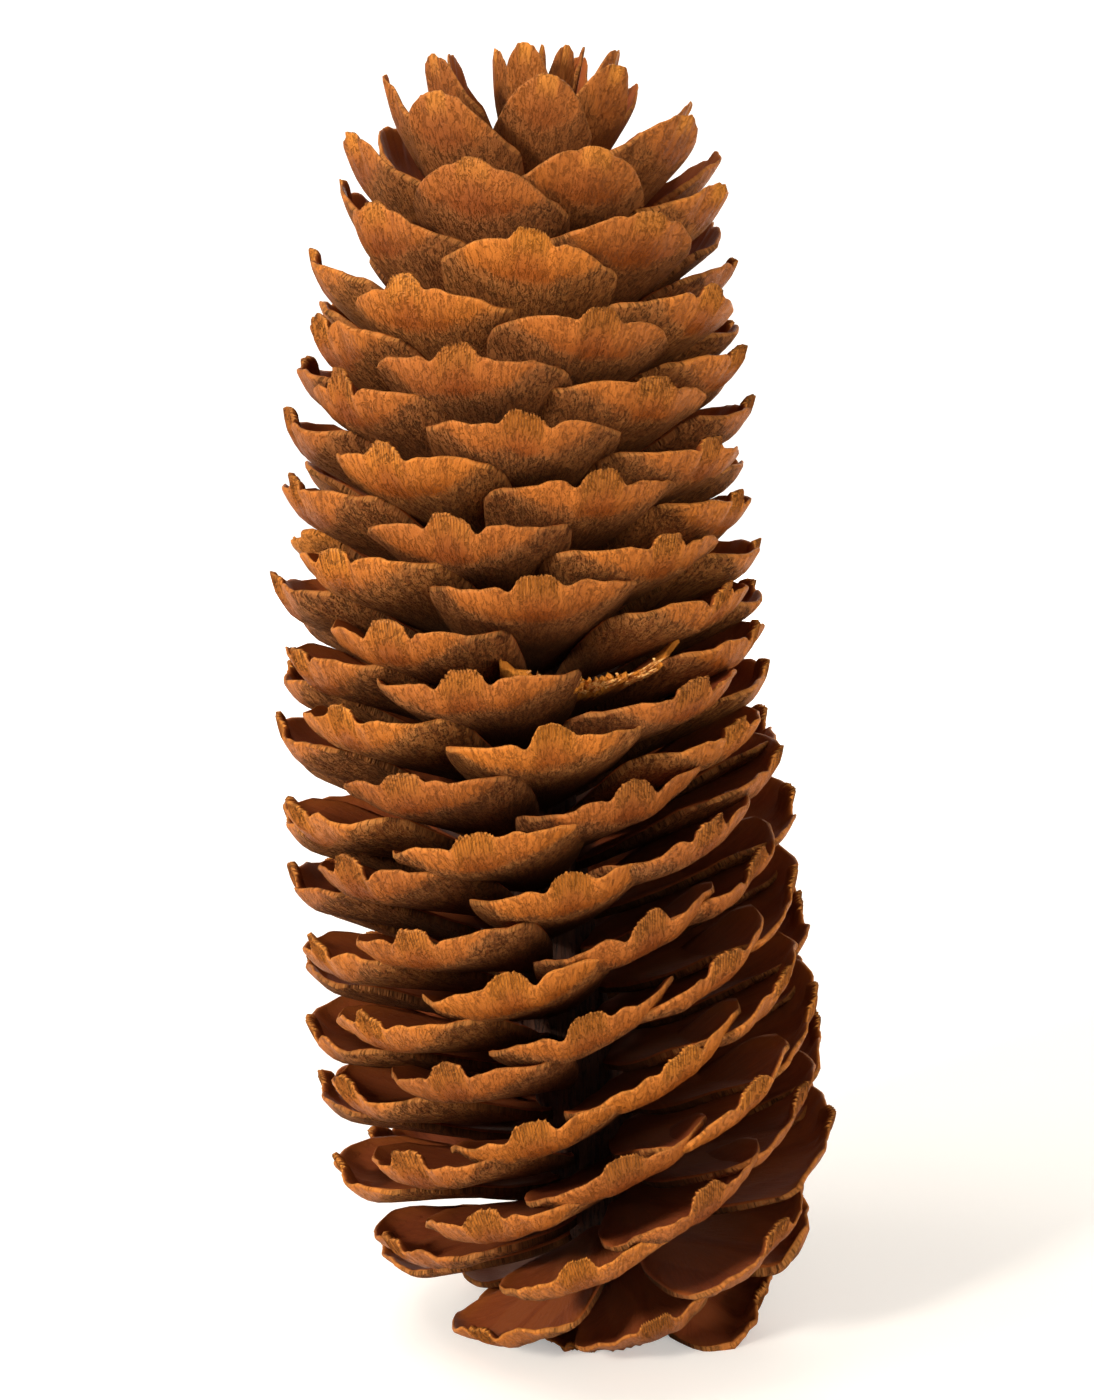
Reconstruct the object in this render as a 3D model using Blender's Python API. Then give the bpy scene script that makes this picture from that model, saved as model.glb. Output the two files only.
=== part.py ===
"""An opened spruce cone, standing on its base with its apex up.

The cone grew as one woody piece, so it is one solid: a bowed central axis, and seed scales that
leave it one after another along a spiral. A scale is described on a straight cone, by its distance
from the axis, its bearing round it and its height along it. The bow then bends the whole cone.
X points to the right of someone who looks at the cone along +Y, and +Z is up. The origin is the
middle of the flat end of the stalk, which the cone stands on together with its lowest scales.
"""
import math
import random

import bmesh
import bpy
from mathutils import Vector

# The axis and the bow of the cone, in metres
AXIS_TOP = 0.1170
CONE_LENGTH = 0.1330
BOW = 0.0073  # how far the middle swings to -X from a straight line between the two ends
APEX_SHIFT = -0.00525  # where the apex stands, along X, seen from the foot
STRAIGHT_FOOT = 0.005  # below this height the axis leans less and less, so that its end is level
AXIS_STATIONS = ((0.0, 0.0048), (0.012, 0.0052), (0.045, 0.0047), (0.085, 0.0036), (0.118, 0.0012))
AXIS_SIDES = 12
AXIS_RINGS = 14

# The spiral of scales
SCALE_COUNT = 190
TURN = math.radians(137.21)  # from one scale to the next, seen from above
FRONT_SCALE = 110  # the scale, counted from the foot, that looks at the viewer
FRONT_BEARING = math.radians(3.3)
SEED = 21

# How a scale changes from the foot, 0, to the apex, 1: a station and a value, slopes and roll in
# degrees. A scale with a positive roll has its right edge higher than its left one. The roll is
# full in front and behind, double on the cone's right and gone on its left, where it leans over.
ROOT_HEIGHT = ((0.0, 0.0036), (0.030, 0.0056), (0.063, 0.0099), (0.106, 0.0136), (0.159, 0.0184),
               (0.265, 0.0309), (0.370, 0.0430), (0.582, 0.0686), (0.688, 0.0815), (0.794, 0.0929),
               (0.899, 0.1041), (0.931, 0.1068), (1.0, 0.1154))
LENGTH = ((0.0, 0.0134), (0.030, 0.0180), (0.063, 0.0251), (0.106, 0.0261), (0.159, 0.0270),
          (0.370, 0.0274), (0.582, 0.0275), (0.688, 0.0269), (0.794, 0.0276), (0.847, 0.0280),
          (0.899, 0.0273), (0.931, 0.0255), (1.0, 0.0160))
ROOT_SLOPE = ((0.0, -32.0), (0.030, -12.0), (0.063, 4.0), (0.106, 12.0), (0.159, 15.0), (0.370, 18.0),
              (0.582, 22.0), (0.688, 26.0), (0.794, 35.0), (0.899, 47.0), (0.931, 54.0), (0.952, 62.0),
              (1.0, 80.0))
TIP_SLOPE = ((0.0, 20.0), (0.030, 38.0), (0.063, 48.0), (0.106, 52.0), (0.159, 55.0), (0.370, 57.0),
             (0.582, 59.0), (0.794, 61.0), (0.899, 65.0), (0.931, 69.0), (1.0, 86.0))
HALF_WIDTH = ((0.0, 0.0080), (0.06, 0.0092), (0.2, 0.0099), (0.6, 0.0099), (0.69, 0.0097),
              (0.79, 0.0088), (0.847, 0.0079), (0.890, 0.0064), (0.925, 0.0044), (0.95, 0.0032),
              (1.0, 0.0019))
CUP = ((0.0, 0.0010), (0.2, 0.0020), (0.6, 0.0024), (1.0, 0.0012))
UPTURN_BEGIN = 0.0068  # this far below its tip a scale begins to turn upward
UPTURN_DONE = 0.0030  # and this far below it the turn is complete
MIDLINE_STEPS = 12
THICKNESS = 0.0015  # along the middle of a scale, which thins to its rim
ROOT_THICKER = 1.25  # the share of that thickness at the root, and at the tip
TIP_THINNER = 0.80
FULL_HALF_WIDTH = 0.009  # narrower scales are thinner too, down to a share of the thickness
THIN_SHARE = 0.55
ROLL = ((0.0, 7.0), (0.10, 10.0), (0.30, 10.0), (0.38, 7.0), (0.48, 3.0), (0.60, 0.5), (1.0, 0.0))

# A scale's outline: the share of its length from the root, and of its half width
OUTLINE = ((0.0, 0.17), (0.42, 0.30), (0.70, 1.0), (0.88, 0.66), (1.0, 0.26))
CLAW_HALF_WIDTH = 0.0018
ROOT_SINK = 0.0022  # how far a root reaches into the axis
WRAP_RADIUS = 0.006  # nearer the axis than this a scale stops closing round it

# What no two scales share
SCATTER_HEIGHT = 0.0003
SCATTER_BEARING = math.radians(1.4)
SCATTER_SLOPE = math.radians(1.4)
SCATTER_ROLL = math.radians(2.0)
SCATTER_LENGTH = 0.03
SCATTER_WIDTH = 0.04
BROKEN_SCALES = {102: 0.64}  # a scale that lost its tip, and the share of it that is left
GROUND_GIVE = 0.0004  # what comes this near the ground is pressed flat on it
PRESSED_THICKNESS = 0.0008


def clear_scene():
    for thing in list(bpy.data.objects):
        bpy.data.objects.remove(thing, do_unlink=True)


def along(stations, share):
    """The value at a share of the way, read straight between the stations on either side."""
    for (a, low), (b, high) in zip(stations, stations[1:]):
        if share <= b:
            part = max(0.0, (share - a) / (b - a))
            return low + (high - low) * part
    return stations[-1][1]


def bent(x, y, height):
    """A point of the straight cone, moved to where the bow takes it."""
    t = height / CONE_LENGTH
    middle = APEX_SHIFT * t - 4 * BOW * t * (1 - t)
    lean = math.atan((APEX_SHIFT - 4 * BOW * (1 - 2 * t)) / CONE_LENGTH)
    lean *= min(1.0, max(0.0, height / STRAIGHT_FOOT))
    return Vector((middle + x * math.cos(lean), y, height - x * math.sin(lean)))


def scale_traits(number):
    """Everything that sets one scale apart, counted from the foot."""
    rng = random.Random(SEED * 1000 + number)
    share = number / (SCALE_COUNT - 1)
    bearing = FRONT_BEARING - TURN * (number - FRONT_SCALE) + rng.uniform(-1, 1) * SCATTER_BEARING
    return {
        "bearing": bearing,
        "root": along(ROOT_HEIGHT, share) + rng.uniform(-1, 1) * SCATTER_HEIGHT,
        "tilt": rng.uniform(-1, 1) * SCATTER_SLOPE,
        "root_slope": math.radians(along(ROOT_SLOPE, share)),
        "tip_slope": math.radians(along(TIP_SLOPE, share)),
        "length": along(LENGTH, share) * (1 + rng.uniform(-1, 1) * SCATTER_LENGTH),
        "half_width": along(HALF_WIDTH, share) * (1 + rng.uniform(-1, 1) * SCATTER_WIDTH),
        "roll": math.radians(along(ROLL, share)) * (1 + math.sin(bearing)) + rng.uniform(-1, 1) * SCATTER_ROLL,
        "cup": along(CUP, share),
    }


def midline(traits, u):
    """Distance from the axis, height and slope of a scale's middle line, at a share u of its length."""
    radius = max(0.0, along(AXIS_STATIONS, traits["root"]) - ROOT_SINK)
    height = traits["root"]
    stride = traits["length"] * u / MIDLINE_STEPS
    turn_over = (UPTURN_BEGIN - UPTURN_DONE) / traits["length"]
    turn_from = 1 - UPTURN_BEGIN / traits["length"]
    for step in range(MIDLINE_STEPS):
        at = u * (step + 0.5) / MIDLINE_STEPS
        part = min(1.0, max(0.0, (at - turn_from) / turn_over))
        eased = part * part * (3 - 2 * part)
        slope = traits["tilt"] + traits["root_slope"] + (traits["tip_slope"] - traits["root_slope"]) * eased
        radius += math.cos(slope) * stride
        height += math.sin(slope) * stride
    return radius, height, slope


def scale_point(traits, u, side, off):
    """A point of a scale: side is its place across in metres, off its distance above the middle face."""
    radius, height, slope = midline(traits, u)
    reach = side / traits["half_width"]
    radius -= math.sin(slope) * off
    height += math.cos(slope) * off
    height += traits["cup"] * reach * reach + side * math.tan(traits["roll"])
    bearing = traits["bearing"] + side / max(radius, WRAP_RADIUS)
    return bent(radius * math.sin(bearing), -radius * math.cos(bearing), height)


def scale_rows(traits, kept):
    """Left, middle and right of each row of a scale, with the middle twice, above and below."""
    rows = []
    fullness = min(1.0, traits["half_width"] / FULL_HALF_WIDTH)
    for u, wide in OUTLINE:
        half = max(CLAW_HALF_WIDTH, wide * traits["half_width"])
        thick = THICKNESS * (ROOT_THICKER + (TIP_THINNER - ROOT_THICKER) * u)
        thick *= THIN_SHARE + (1 - THIN_SHARE) * fullness
        u = min(u, kept)
        rows.append((scale_point(traits, u, -half, 0.0), scale_point(traits, u, 0.0, thick / 2),
                     scale_point(traits, u, half, 0.0), scale_point(traits, u, 0.0, -thick / 2)))
        if u == kept:
            break
    return rows


def rest_on_ground(rows):
    """Flattens a low scale where it meets the ground, and leaves it some thickness there."""
    for left, top, right, under in rows:
        for point in (left, right, under):
            if point.z < GROUND_GIVE:
                point.z = 0.0
        top.z = max(top.z, PRESSED_THICKNESS)


def scale_object(number):
    rows = scale_rows(scale_traits(number), BROKEN_SCALES.get(number, 1.0))
    rest_on_ground(rows)
    mesh = bmesh.new()
    rings = [[mesh.verts.new(point) for point in row] for row in rows]
    for low, high in zip(rings, rings[1:]):
        left, top, right, under = range(4)
        mesh.faces.new((low[top], high[top], high[left]))
        mesh.faces.new((low[top], high[left], low[left]))
        mesh.faces.new((low[top], low[right], high[right]))
        mesh.faces.new((low[top], high[right], high[top]))
        mesh.faces.new((low[under], high[left], high[under]))
        mesh.faces.new((low[under], low[left], high[left]))
        mesh.faces.new((low[under], high[right], low[right]))
        mesh.faces.new((low[under], high[under], high[right]))
    for ring in (rings[0], rings[-1]):
        mesh.faces.new((ring[0], ring[1], ring[3]))
        mesh.faces.new((ring[1], ring[2], ring[3]))
    return finish_mesh(mesh, "scale_%03d" % number)


def axis_object():
    """The woody axis with its flat foot, before any scale grows from it."""
    mesh = bmesh.new()
    rings = []
    heights = [AXIS_TOP * k / AXIS_RINGS for k in range(AXIS_RINGS + 1)]
    for height in heights:
        radius = along(AXIS_STATIONS, height)
        ring = []
        for k in range(AXIS_SIDES):
            turn = 2 * math.pi * k / AXIS_SIDES
            ring.append(mesh.verts.new(bent(radius * math.cos(turn), radius * math.sin(turn), height)))
        rings.append(ring)
    for low, high in zip(rings, rings[1:]):
        for k in range(AXIS_SIDES):
            after = (k + 1) % AXIS_SIDES
            mesh.faces.new((low[k], low[after], high[after], high[k]))
    mesh.faces.new(rings[0])
    mesh.faces.new(rings[-1])
    return finish_mesh(mesh, "cone")


def finish_mesh(mesh, name):
    bmesh.ops.recalc_face_normals(mesh, faces=mesh.faces)
    data = bpy.data.meshes.new(name)
    mesh.to_mesh(data)
    mesh.free()
    thing = bpy.data.objects.new(name, data)
    bpy.context.scene.collection.objects.link(thing)
    return thing


def scale_wood():
    material = bpy.data.materials.new("scale_wood")
    material.use_nodes = True
    shader = material.node_tree.nodes["Principled BSDF"]
    shader.inputs["Base Color"].default_value = (0.30, 0.13, 0.042, 1.0)
    shader.inputs["Roughness"].default_value = 0.55
    shader.inputs["Metallic"].default_value = 0.0
    return material


def fuse(body, parts):
    """Joins the scales to the axis in one union, and takes the loose scales away."""
    group = bpy.data.collections.new("scales")
    bpy.context.scene.collection.children.link(group)
    for part in parts:
        bpy.context.scene.collection.objects.unlink(part)
        group.objects.link(part)
    union = body.modifiers.new("grown_together", "BOOLEAN")
    union.operation = "UNION"
    union.operand_type = "COLLECTION"
    union.collection = group
    union.solver = "EXACT"
    graph = bpy.context.evaluated_depsgraph_get()
    fused = bpy.data.meshes.new_from_object(body.evaluated_get(graph))
    body.modifiers.clear()
    body.data = fused
    for part in parts:
        bpy.data.objects.remove(part, do_unlink=True)
    bpy.data.collections.remove(group)


def build():
    clear_scene()
    cone = axis_object()
    fuse(cone, [scale_object(number) for number in range(SCALE_COUNT)])
    cone.data.materials.clear()
    cone.data.materials.append(scale_wood())
    print("cone:", len(cone.data.polygons), "faces, size", tuple(round(v, 4) for v in cone.dimensions))


build()
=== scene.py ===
# %% [markdown]
# # An opened spruce cone
# A ripe spruce cone is a bowed wooden axis that carries about two hundred thin scales in a spiral.
# This lesson grows each scale from one outline and one rule for its place, then paints the two
# faces of a scale in node groups: a satin orange tip that the sun saw, and a rough brown root
# that its neighbours covered while the cone was closed.

# %% Load the frame
import math
import random

import bpy
import numpy as np
from mathutils import Matrix, Vector


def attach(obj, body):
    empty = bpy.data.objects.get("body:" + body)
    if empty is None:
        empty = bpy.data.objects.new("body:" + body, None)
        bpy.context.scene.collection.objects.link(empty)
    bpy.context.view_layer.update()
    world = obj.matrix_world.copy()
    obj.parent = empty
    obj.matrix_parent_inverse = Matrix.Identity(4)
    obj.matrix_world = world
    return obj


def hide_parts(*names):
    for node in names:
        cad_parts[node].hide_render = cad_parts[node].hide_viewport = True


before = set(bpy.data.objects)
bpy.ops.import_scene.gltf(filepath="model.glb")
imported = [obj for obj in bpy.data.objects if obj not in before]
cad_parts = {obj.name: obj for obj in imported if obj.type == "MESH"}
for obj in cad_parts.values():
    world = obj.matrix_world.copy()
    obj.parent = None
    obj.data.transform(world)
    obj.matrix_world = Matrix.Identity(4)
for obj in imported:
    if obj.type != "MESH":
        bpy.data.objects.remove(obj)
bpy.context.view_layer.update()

# %% [markdown]
# ## The rule that places a scale
# Each scale stands a turn of 137.2 degrees further round the axis than the one below it, which is
# why the eye finds 8 steep rows one way and 13 the other. The scale's place could be modelled by
# hand or scattered on a surface, but a rule with seeded chance repeats the plant's own growth and
# lands on the solid that carries the cone. Lengths are in metres, and a share of 0 is the foot.

# %% Sizes of the axis, the bow and the spiral
AXIS_TOP = 0.1170
CONE_LENGTH = 0.1330
BOW = 0.0073
APEX_SHIFT = -0.00525
STRAIGHT_FOOT = 0.005
AXIS_STATIONS = ((0.0, 0.0048), (0.012, 0.0052), (0.045, 0.0047), (0.085, 0.0036), (0.118, 0.0012))
SCALE_COUNT = 190
TURN = math.radians(137.21)
FRONT_SCALE = 110
FRONT_BEARING = math.radians(3.3)
SEED = 21
ROOT_HEIGHT = ((0.0, 0.0036), (0.030, 0.0056), (0.063, 0.0099), (0.106, 0.0136), (0.159, 0.0184),
               (0.265, 0.0309), (0.370, 0.0430), (0.582, 0.0686), (0.688, 0.0815), (0.794, 0.0929),
               (0.899, 0.1041), (0.931, 0.1068), (1.0, 0.1154))
LENGTH = ((0.0, 0.0134), (0.030, 0.0180), (0.063, 0.0251), (0.106, 0.0261), (0.159, 0.0270),
          (0.370, 0.0274), (0.582, 0.0275), (0.688, 0.0269), (0.794, 0.0276), (0.847, 0.0280),
          (0.899, 0.0273), (0.931, 0.0255), (1.0, 0.0160))
ROOT_SLOPE = ((0.0, -32.0), (0.030, -12.0), (0.063, 4.0), (0.106, 12.0), (0.159, 15.0), (0.370, 18.0),
              (0.582, 22.0), (0.688, 26.0), (0.794, 35.0), (0.899, 47.0), (0.931, 54.0), (0.952, 62.0),
              (1.0, 80.0))
TIP_SLOPE = ((0.0, 20.0), (0.030, 38.0), (0.063, 48.0), (0.106, 52.0), (0.159, 55.0), (0.370, 57.0),
             (0.582, 59.0), (0.794, 61.0), (0.899, 65.0), (0.931, 69.0), (1.0, 86.0))
HALF_WIDTH = ((0.0, 0.0080), (0.06, 0.0092), (0.2, 0.0099), (0.6, 0.0099), (0.69, 0.0097),
              (0.79, 0.0088), (0.847, 0.0079), (0.890, 0.0064), (0.925, 0.0044), (0.95, 0.0032),
              (1.0, 0.0019))
CUP = ((0.0, 0.0010), (0.2, 0.0020), (0.6, 0.0024), (1.0, 0.0012))
UPTURN_BEGIN = 0.0068
UPTURN_DONE = 0.0030
ROLL = ((0.0, 7.0), (0.10, 10.0), (0.30, 10.0), (0.38, 7.0), (0.48, 3.0), (0.60, 0.5), (1.0, 0.0))
CLAW_HALF_WIDTH = 0.0018
ROOT_SINK = 0.0022
WRAP_RADIUS = 0.006
SCATTER_HEIGHT = 0.0003
SCATTER_ANGLE = math.radians(1.4)
SCATTER_ROLL = math.radians(2.0)
SCATTER_LENGTH = 0.03
SCATTER_WIDTH = 0.04
TORN_SCALES = {102: 0.66, 116: 0.84}  # scales that lost their tip, and the share of each that is left


def along(stations, share):
    """The value at a share of the way, read straight between the stations on either side."""
    places, values = zip(*stations)
    return np.interp(share, places, values)


def smooth(low, high, value):
    """An eased step from 0 at low to 1 at high, or a fall where high is the smaller one."""
    part = np.clip((value - low) / (high - low), 0.0, 1.0)
    return part * part * (3 - 2 * part)


def traits_of(number):
    """What sets one scale apart from the rest, counted from the foot."""
    rng = random.Random(SEED * 1000 + number)
    share = number / (SCALE_COUNT - 1)
    bearing = FRONT_BEARING - TURN * (number - FRONT_SCALE) + rng.uniform(-1, 1) * SCATTER_ANGLE
    return {
        "number": number,
        "share": share,
        "bearing": bearing,
        "root": along(ROOT_HEIGHT, share) + rng.uniform(-1, 1) * SCATTER_HEIGHT,
        "tilt": rng.uniform(-1, 1) * SCATTER_ANGLE,
        "root_slope": math.radians(along(ROOT_SLOPE, share)),
        "tip_slope": math.radians(along(TIP_SLOPE, share)),
        "length": along(LENGTH, share) * (1 + rng.uniform(-1, 1) * SCATTER_LENGTH),
        "half_width": along(HALF_WIDTH, share) * (1 + rng.uniform(-1, 1) * SCATTER_WIDTH),
        "roll": (math.radians(along(ROLL, share)) * (1 + math.sin(bearing))
                 + rng.uniform(-1, 1) * SCATTER_ROLL),
        "cup": along(CUP, share),
    }


front = traits_of(FRONT_SCALE)
print("scale", FRONT_SCALE, "leaves the axis", round(float(front["root"]) * 1000, 1), "mm above the foot")

# %% [markdown]
# ## From a flat scale to its place on the cone
# A scale leaves the axis nearly level and turns upward towards its tip, it closes a little round
# the axis, and its two sides rise like the rim of a spoon. Sculpting that on 190 scales by hand
# would take days. Here one function takes a flat point, across and along the scale, and carries
# it through the upturn, the wrap, the cup and at last the bow of the whole cone.

# %% Carry flat points of a scale to the cone
MIDLINE_STEPS = 60
RIM_LIFT = 1.35  # how much higher the thin sides of a scale curl than those of the plain solid
RIM_CURL = 2.5  # the larger, the nearer to its sides a scale begins to curl


def midline(traits):
    """Distance from the axis, height and slope at even steps along a scale's middle."""
    share = (np.arange(MIDLINE_STEPS) + 0.5) / MIDLINE_STEPS
    eased = smooth(-UPTURN_BEGIN, -UPTURN_DONE, (share - 1) * traits["length"])
    slope = traits["tilt"] + traits["root_slope"] + (traits["tip_slope"] - traits["root_slope"]) * eased
    step = traits["length"] / MIDLINE_STEPS
    start = max(0.0, along(AXIS_STATIONS, traits["root"]) - ROOT_SINK)
    radius = start + np.concatenate([[0.0], np.cumsum(np.cos(slope) * step)])
    height = traits["root"] + np.concatenate([[0.0], np.cumsum(np.sin(slope) * step)])
    return radius, height, np.append(slope, slope[-1])


def bend(x, y, height):
    """Points of the straight cone, moved to where the bow takes them."""
    t = height / CONE_LENGTH
    middle = APEX_SHIFT * t - 4 * BOW * t * (1 - t)
    lean = np.arctan((APEX_SHIFT - 4 * BOW * (1 - 2 * t)) / CONE_LENGTH)
    lean = lean * np.clip(height / STRAIGHT_FOOT, 0.0, 1.0)
    return np.stack([middle + x * np.cos(lean), y, height - x * np.sin(lean)], axis=-1)


def on_cone(traits, u, side, off):
    """Where a point of a scale is: u along it, side across it and off above its middle face."""
    radii, heights, slopes = midline(traits)
    steps = np.linspace(0.0, 1.0, MIDLINE_STEPS + 1)
    radius = np.interp(u, steps, radii)
    height = np.interp(u, steps, heights)
    slope = np.interp(u, steps, slopes)
    reach = np.abs(side) / traits["half_width"]
    radius = radius - np.sin(slope) * off
    cup = traits["cup"] * RIM_LIFT * reach ** RIM_CURL
    height = height + np.cos(slope) * off + cup + side * math.tan(traits["roll"])
    bearing = traits["bearing"] + side / np.maximum(radius, WRAP_RADIUS)
    return bend(radius * np.sin(bearing), -radius * np.cos(bearing), height)


tip = on_cone(front, np.array([1.0]), np.array([0.0]), np.array([0.0]))[0]
print("its tip stands at", [round(float(value) * 1000, 1) for value in tip], "mm")

# %% [markdown]
# ## The outline of a scale
# Held in the hand, a scale is a fan on a narrow claw. Its far edge has rounded shoulders, a notch
# on either side, and between the notches a pleated crown with a row of small teeth. An outline
# like this could be drawn as a curve and filled, but columns that run from the near edge to the
# far edge keep pleats and teeth on clean lines of faces, close together only where they matter.

# %% Near edge, far edge and crown
NEAR_EDGE = ((0.0, 0.0), (0.04, 0.06), (0.12, 0.12), (0.25, 0.19), (0.42, 0.275), (0.62, 0.385),
             (0.80, 0.51), (0.94, 0.635), (1.0, 0.700))  # counted from the claw's side outwards
WIDEST_CLAW = 0.6
SHOULDERS = ((0.0, 0.945), (0.24, 0.945), (0.34, 0.942), (0.44, 0.934), (0.54, 0.921), (0.64, 0.904),
             (0.76, 0.876), (0.87, 0.840), (0.95, 0.800), (1.0, 0.765))
NOTCH_PLACE = 0.265  # how far out a notch lies, as a share of the half width
NOTCH_WIDTH = 0.07
NOTCH_DEPTH = 0.022
NOTCH_VARIES = (0.0, 1.5)
CROWN_HALF = 0.165
CROWN_RISE = 0.047  # how far the crown stands above the shoulders
CROWN_VARIES = (0.6, 1.2)
CROWN_SLANT = 0.4
CROWN_ROUND = 0.25
CROWN_FADES = (0.72, 0.94)  # the crown is full up to the first station and gone after the second
ROUND_DROP = 0.30  # how far the sides of a crownless scale fall below its tip
TEETH = 11
TOOTH_DEPTH = 0.017
SHOULDER_RIPPLE = 0.010
ROUND_RIPPLE = 0.008
HIGHEST = 1.006  # no point of a scale lies further out than this share of its length
TORN_WAVES = ((0.05, 9.0, 4), (0.03, 31.0, 2))  # depth, pace and octaves of the ragged edge
FLANK_COLUMNS = (0.178, 0.192, 0.208, 0.226, 0.245, 0.268)
SIDE_COLUMNS = (0.30, 0.34, 0.39, 0.45, 0.52, 0.61, 0.71, 0.81, 0.90, 0.96, 1.0)
ROW_PLACES = (0.0, 0.03, 0.14, 0.27, 0.39, 0.50, 0.60, 0.68, 0.75, 0.81, 0.86, 0.90, 0.935, 0.965,
              0.985, 1.0)


def column_places():
    """Places across a scale, from -1 to 1, with one column on each tooth and in each gap."""
    crown = np.linspace(-CROWN_HALF, CROWN_HALF, 2 * TEETH + 1)
    side = np.array(FLANK_COLUMNS + SIDE_COLUMNS)
    return np.concatenate([-side[::-1], crown, side])


def waves(place, rng, octaves=3):
    """Soft seeded waves between about -1 and 1."""
    total = np.zeros_like(place)
    for octave in range(octaves):
        swing = place * rng.uniform(1.5, 3.0) * 2 ** octave + rng.uniform(0, 6.3)
        total += np.sin(swing) / 1.7 ** octave
    return total / 2.0


def edges_of(traits, across, rng):
    """Near and far edge of one scale at each place across, as shares of its length."""
    crown = 1.0 - smooth(CROWN_FADES[0], CROWN_FADES[1], traits["share"])
    claw = min(WIDEST_CLAW, CLAW_HALF_WIDTH / traits["half_width"])
    past_claw = np.clip((np.abs(across) - claw) / (1 - claw), 0.0, 1.0)
    near = along(NEAR_EDGE, past_claw)

    place = np.abs(across)
    on_crown = across / CROWN_HALF
    rise = CROWN_RISE * rng.uniform(*CROWN_VARIES)
    rise = rise * (1 + rng.uniform(-CROWN_SLANT, CROWN_SLANT) * np.clip(on_crown, -1, 1))
    top = rise * (1 - CROWN_ROUND * on_crown ** 2) * smooth(NOTCH_PLACE, CROWN_HALF * 0.62, place)
    deep = np.where(across > 0, rng.uniform(*NOTCH_VARIES), rng.uniform(*NOTCH_VARIES))
    notch = NOTCH_DEPTH * deep * np.exp(-((place - NOTCH_PLACE) / NOTCH_WIDTH) ** 2)
    crowned = along(SHOULDERS, place) + top - notch
    crowned = crowned + SHOULDER_RIPPLE * waves(across * 3.0, rng) * smooth(0.26, 0.5, place)
    tooth = np.zeros_like(across)
    first = len(FLANK_COLUMNS) + len(SIDE_COLUMNS)
    gaps = np.arange(first, first + 2 * TEETH + 1, 2)
    tooth[gaps] = TOOTH_DEPTH * rng.uniform(0.25, 1.3, len(gaps))
    tips = gaps[:-1] + 1
    tooth[tips] = -0.3 * TOOTH_DEPTH * rng.uniform(0.0, 1.0, len(tips))
    crowned = crowned - tooth
    round_top = 1.0 - ROUND_DROP * place ** 2.3 + ROUND_RIPPLE * waves(across * 4.0, rng)
    far = np.minimum(crowned * crown + round_top * (1 - crown), HIGHEST)

    kept = TORN_SCALES.get(traits["number"])
    if kept:
        ragged = kept
        for depth, pace, octaves in TORN_WAVES:
            ragged = ragged + depth * waves(across * pace, rng, octaves)
        far = np.minimum(far, ragged)
    near = np.minimum(near, far - 0.02)
    return near, far


across = column_places()
near, far = edges_of(front, across, np.random.RandomState(1))
print(len(across), "columns and", len(ROW_PLACES), "rows; a front scale is",
      round(float(front["length"]) * 1000, 1), "mm long")

# %% [markdown]
# ## Relief and thickness
# The pleats of the crown run back for a few millimetres and die out, the shoulders wave, and the
# whole face is a little uneven, like a dried leaf. These forms catch the light, so they are true
# geometry and not only bump. A scale is thick at its claw and thin and sharp at its far edge.

# %% Relief of the middle face, and thickness
PLEAT_DEPTH = 0.00019
PLEAT_RUN = 0.0034
SHOULDER_WAVE = 0.00045
DRY_WARP = 0.00030
CROWN_UPTURN = 0.00060
THICKNESS = ((0.0, 0.0013), (0.35, 0.0011), (0.70, 0.00080), (0.90, 0.00045), (1.0, 0.00026))
FULL_HALF_WIDTH = 0.009
THIN_SHARE = 0.55
RIM_SHARE = 0.45  # what is left of the thickness on the rim itself
FAN_IN = 0.20  # how much narrower the crown's pleats stand at their lower end


def crown_share(traits, across):
    """1 on the crown of a scale, 0 away from it and on scales without one."""
    crown = 1.0 - smooth(CROWN_FADES[0], CROWN_FADES[1], traits["share"])
    return crown * smooth(CROWN_HALF * 1.5, CROWN_HALF * 0.9, np.abs(across))


def relief(traits, across, u, from_far, rng):
    """Height of the middle face above the smooth form of the scale."""
    on_crown = crown_share(traits, across)
    ridges = -np.cos(across / CROWN_HALF * TEETH * math.pi)
    pleats = PLEAT_DEPTH * ridges * on_crown * smooth(PLEAT_RUN, 0.0003, from_far)
    shoulder = SHOULDER_WAVE * waves(across * 3.2, rng) * smooth(0.0065, 0.0, from_far)
    warp = DRY_WARP * waves(u * 4.0 + across, rng, 2) * waves(across * 2.0 - u, rng, 2)
    upturn = CROWN_UPTURN * on_crown * smooth(0.0030, 0.0, from_far) ** 2
    small = min(1.0, traits["half_width"] / FULL_HALF_WIDTH)
    return pleats + (shoulder + warp) * small + upturn


def thickness(traits, u):
    """Full thickness of a scale at each share of its length."""
    small = min(1.0, traits["half_width"] / FULL_HALF_WIDTH)
    return along(THICKNESS, u) * (THIN_SHARE + (1 - THIN_SHARE) * small)


claw_thick, tip_thick = THICKNESS[0][1] * 1000, THICKNESS[-1][1] * 1000
print("a scale is", claw_thick, "mm thick at its claw and", tip_thick, "mm at its tip")

# %% [markdown]
# ## Which part of a scale the sun saw
# While the cone was closed, each scale was covered by its lower neighbours, all but a crescent
# along its far edge. That crescent weathered to a satin orange and the rest stayed rough and
# brown. One number for each point says how many millimetres inside the crescent it lies, and the
# paint reads it later.

# %% Millimetres inside the uncovered crescent
CRESCENT_DEPTH = 4.1
CRESCENT_HALF = 0.86
CRESCENT_VARIES = (0.85, 1.2)
CRESCENT_SKEW = 0.10
BESIDE = -6.0  # millimetres given to what lies beside the crescent, or further from it


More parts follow.
